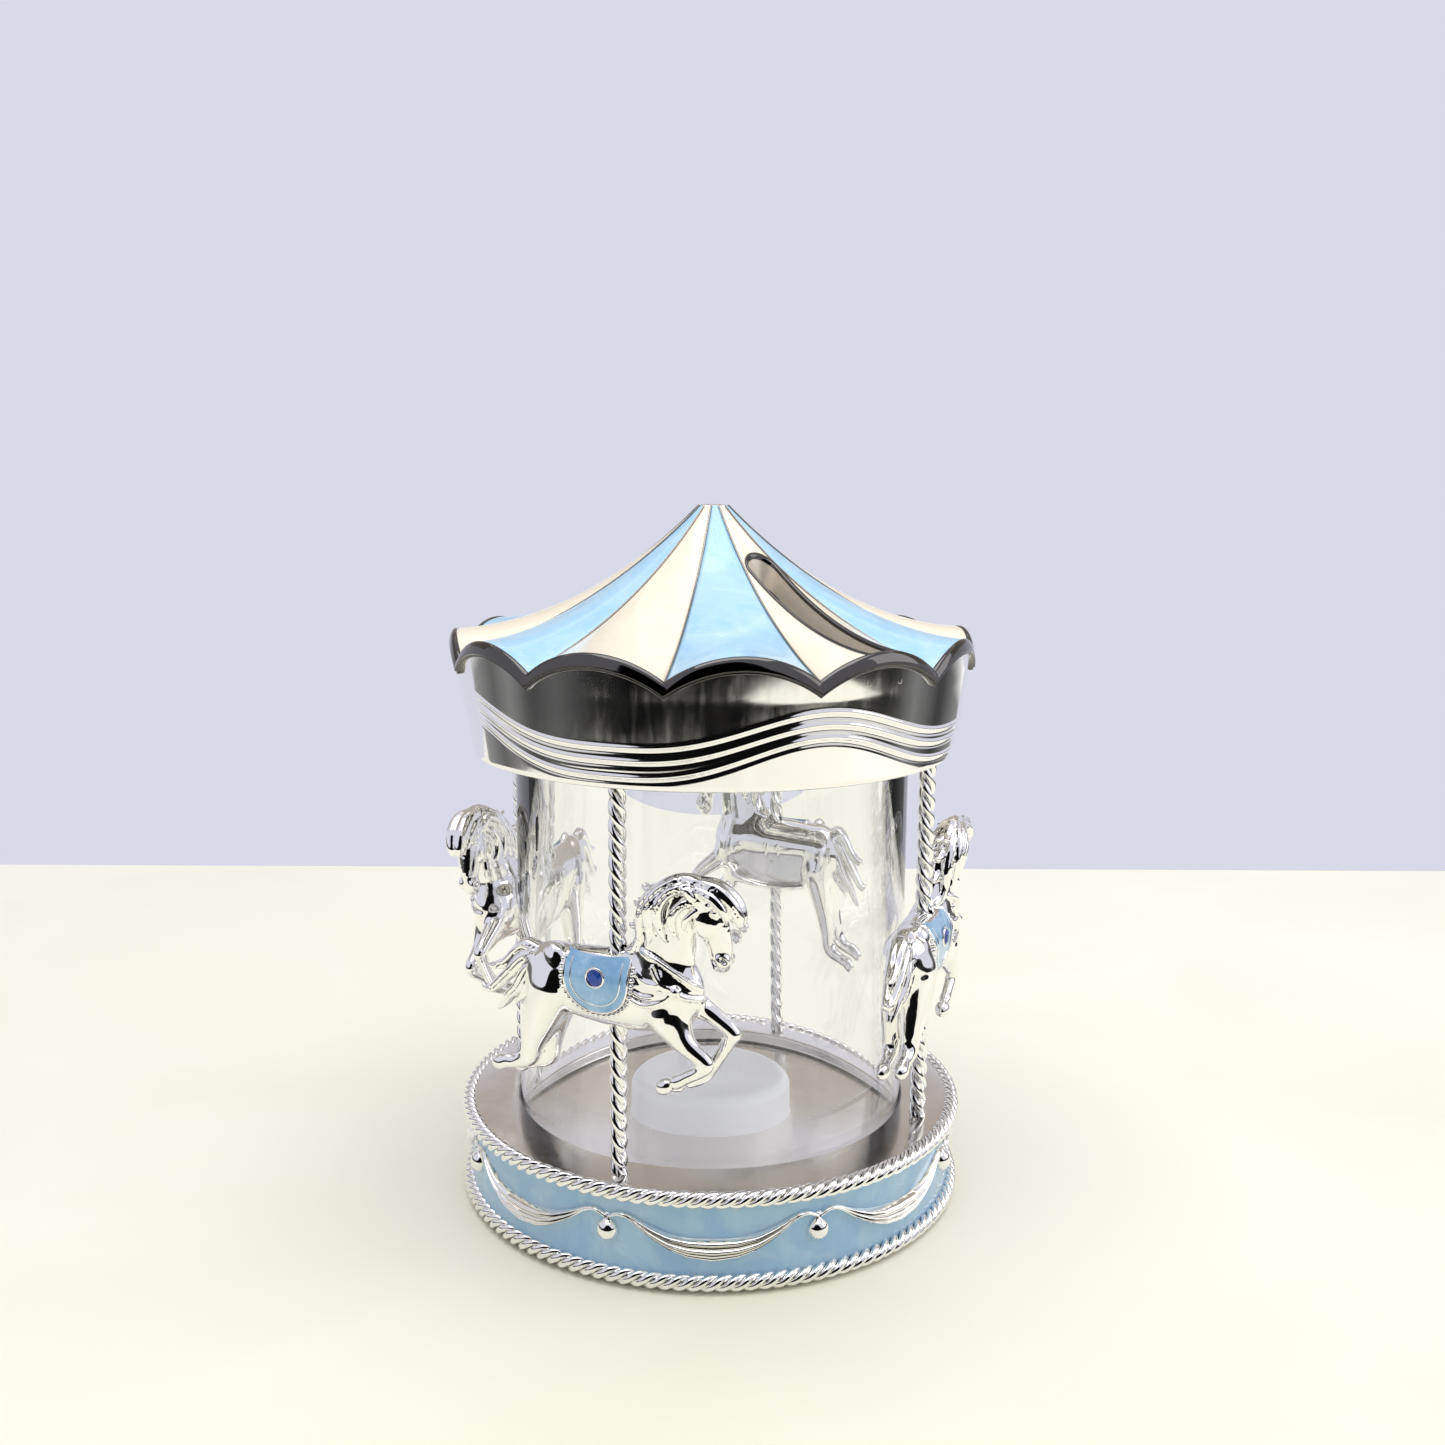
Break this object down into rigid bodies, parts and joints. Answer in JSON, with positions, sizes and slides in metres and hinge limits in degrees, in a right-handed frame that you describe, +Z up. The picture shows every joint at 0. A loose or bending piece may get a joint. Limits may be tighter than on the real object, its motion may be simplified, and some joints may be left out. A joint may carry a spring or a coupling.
{
  "type": "coin bank",
  "caption": "Silver-plated carousel coin bank: a scalloped enamelled roof with a coin slot on twisted poles with horses round a clear tube, on a round base with a pull-out stopper.",
  "frame": {"origin": "on the rest plane, under the centre of the round base", "axes": "+Z up through the roof's finial; the poles stand on the X and Y axes and each horse faces anticlockwise seen from above"},
  "size_m": [0.0958, 0.0958, 0.1279],
  "materials": {
    "silver_plate": "bright silver plate, polished",
    "enamel_blue": "glossy sky-blue enamel",
    "enamel_cream": "glossy cream enamel",
    "enamel_pearl": "pearly mottled light-blue enamel",
    "enamel_saddle": "glossy pearly blue enamel",
    "gem_glass": "faceted deep-blue glass",
    "clear_acrylic": "clear polished acrylic",
    "stopper_plastic": "frosted translucent white plastic",
    "pad_foam": "matt black foam",
    "cover_plastic": "moulded black plastic",
    "fastener_steel": "plain steel"
  },
  "bodies": {
    "bank": {"apron_band": "silver_plate", "base_casting": "silver_plate", "base_cover": "cover_plastic", "base_pad": "pad_foam", "canopy_plate": "silver_plate", "coin_tube": "clear_acrylic", "cover_screws": "fastener_steel", "drum_beads": "silver_plate", "drum_enamel": "enamel_pearl", "finial_cap": "silver_plate", "gem_back": "gem_glass", "gem_front": "gem_glass", "gem_left": "gem_glass", "gem_right": "gem_glass", "horse_back": "silver_plate", "horse_front": "silver_plate", "horse_left": "silver_plate", "horse_pins": "fastener_steel", "horse_right": "silver_plate", "pole_back": "silver_plate", "pole_foot_nuts": "fastener_steel", "pole_front": "silver_plate", "pole_left": "silver_plate", "pole_right": "silver_plate", "pole_top_nuts": "fastener_steel", "roof_panels_blue": "enamel_blue", "roof_panels_cream": "enamel_cream", "roof_screws": "fastener_steel", "roof_shell": "silver_plate", "rope_ring_lower": "silver_plate", "rope_ring_upper": "silver_plate", "saddle_back": "enamel_saddle", "saddle_front": "enamel_saddle", "saddle_left": "enamel_saddle", "saddle_right": "enamel_saddle", "swags": "silver_plate"},
    "stopper": {"stopper": "stopper_plastic"}
  },
  "joints": [
    {"name": "stopper_pull", "type": "slide", "parent": "bank", "child": "stopper", "axis": [0, 0, -1], "range_m": [0, 0.025]}
  ]
}
